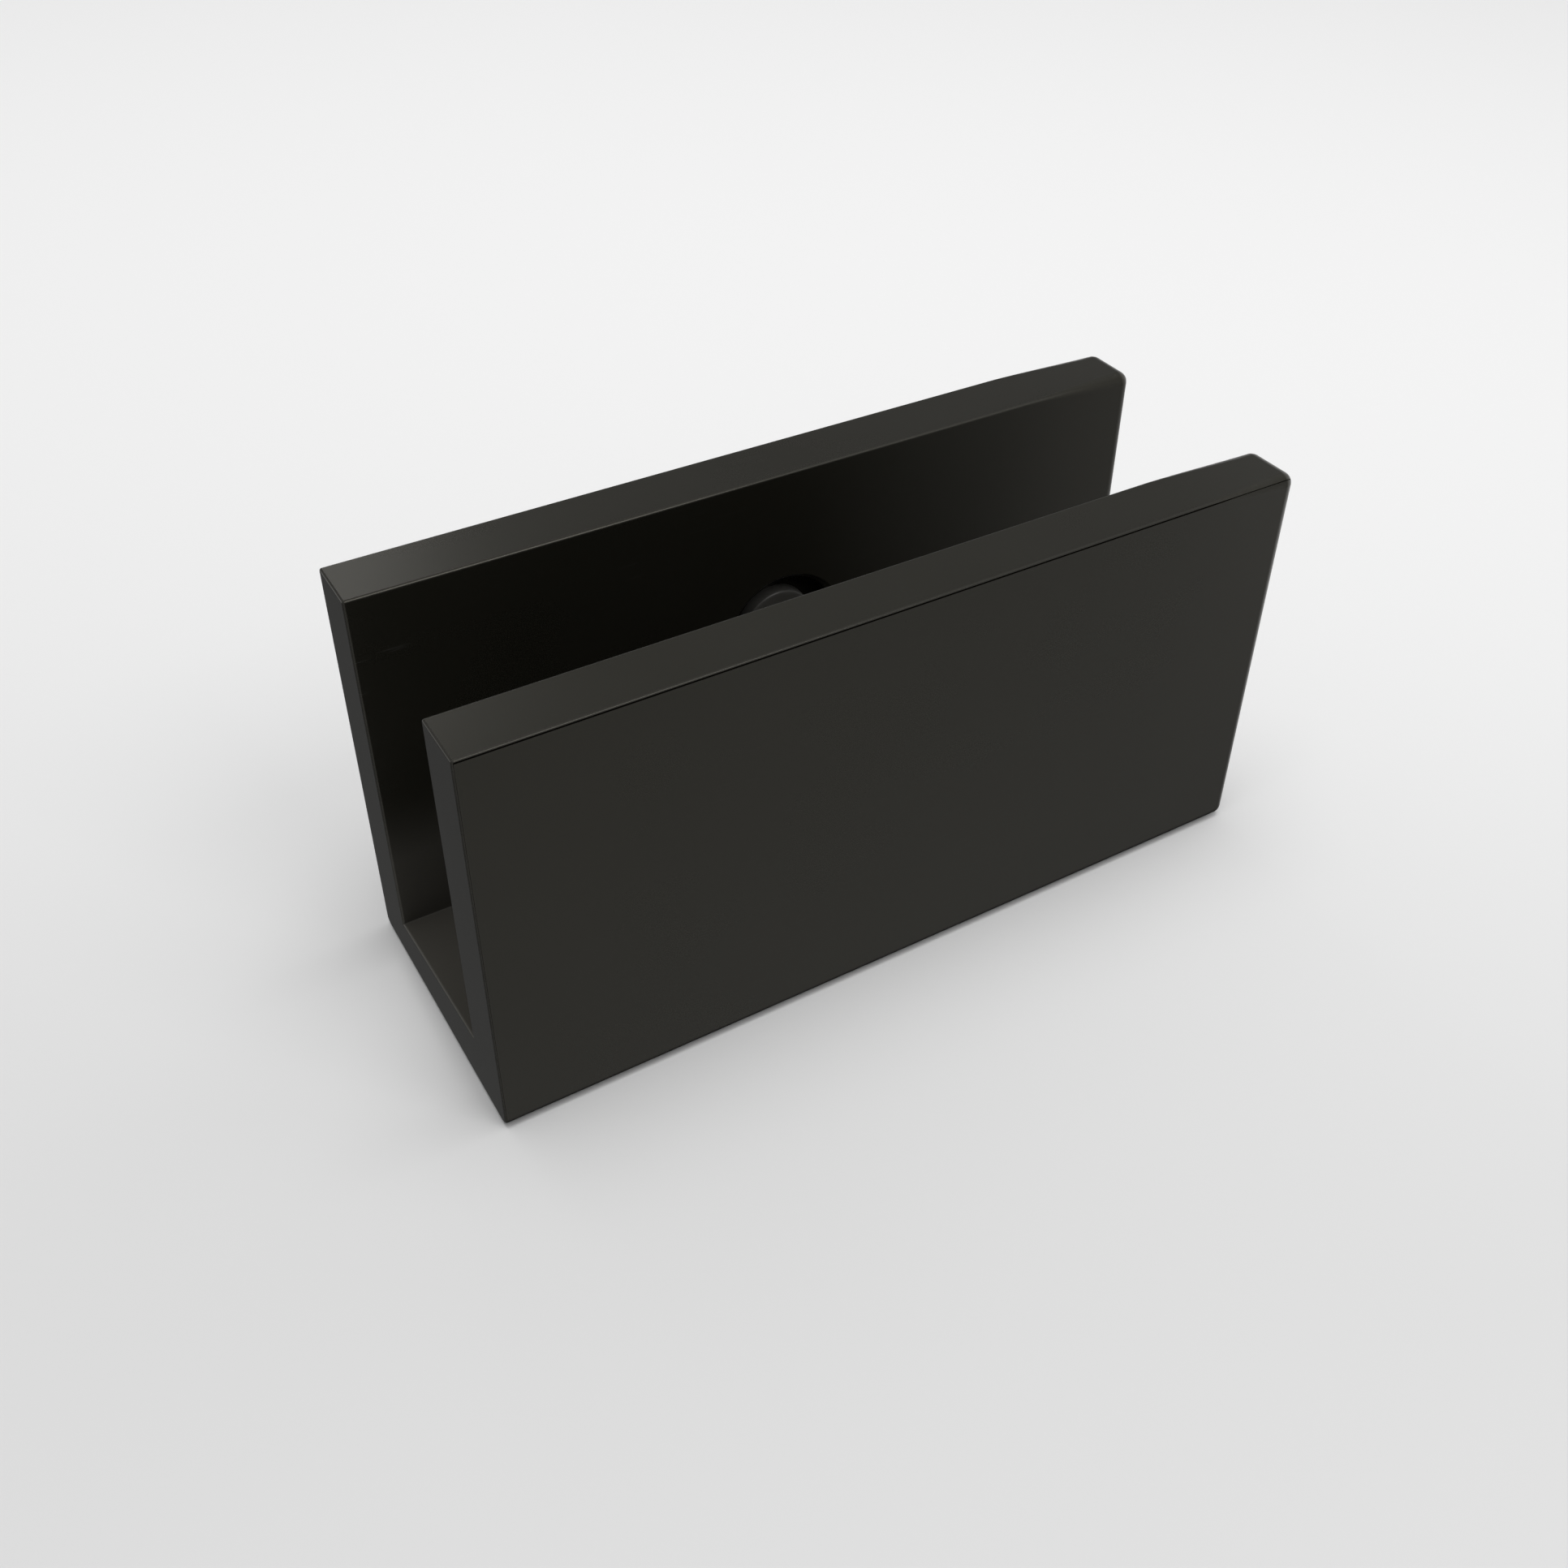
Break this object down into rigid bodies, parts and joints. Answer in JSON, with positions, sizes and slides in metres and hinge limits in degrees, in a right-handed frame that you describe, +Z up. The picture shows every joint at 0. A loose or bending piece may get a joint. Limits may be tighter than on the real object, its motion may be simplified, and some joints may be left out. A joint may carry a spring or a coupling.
{
  "type": "napkin dispenser",
  "caption": "Open-topped black napkin dispenser: thick hollow walls with mitred outer panels, open ends, a floor that slopes to the back and a capped round recess in each wall's slot side.",
  "frame": {"origin": "under the middle of the dispenser, on the plane that its feet stand on", "axes": "+X along the dispenser towards its right end, +Y from the front wall to the back wall, +Z up"},
  "size_m": [0.1778, 0.0632, 0.0893],
  "materials": {
    "shell": "satin black moulding",
    "panels": "satin black moulding",
    "caps": "satin black moulding",
    "cover": "fine-textured black",
    "ballast": "plain cut bar",
    "screws": "blackened",
    "panel_screws": "blackened pan head",
    "feet": "matt"
  },
  "bodies": {
    "root": {"shell": "shell", "front_panel": "panels", "back_panel": "panels", "front_panel_screw": "panel_screws", "back_panel_screw": "panel_screws", "front_screw_cap": "caps", "back_screw_cap": "caps", "base_cover": "cover", "ballast_bar": "ballast", "ballast_screws": "screws", "cover_screws": "screws", "foot_front_left": "feet", "foot_front_right": "feet", "foot_back_left": "feet", "foot_back_right": "feet"}
  },
  "joints": []
}
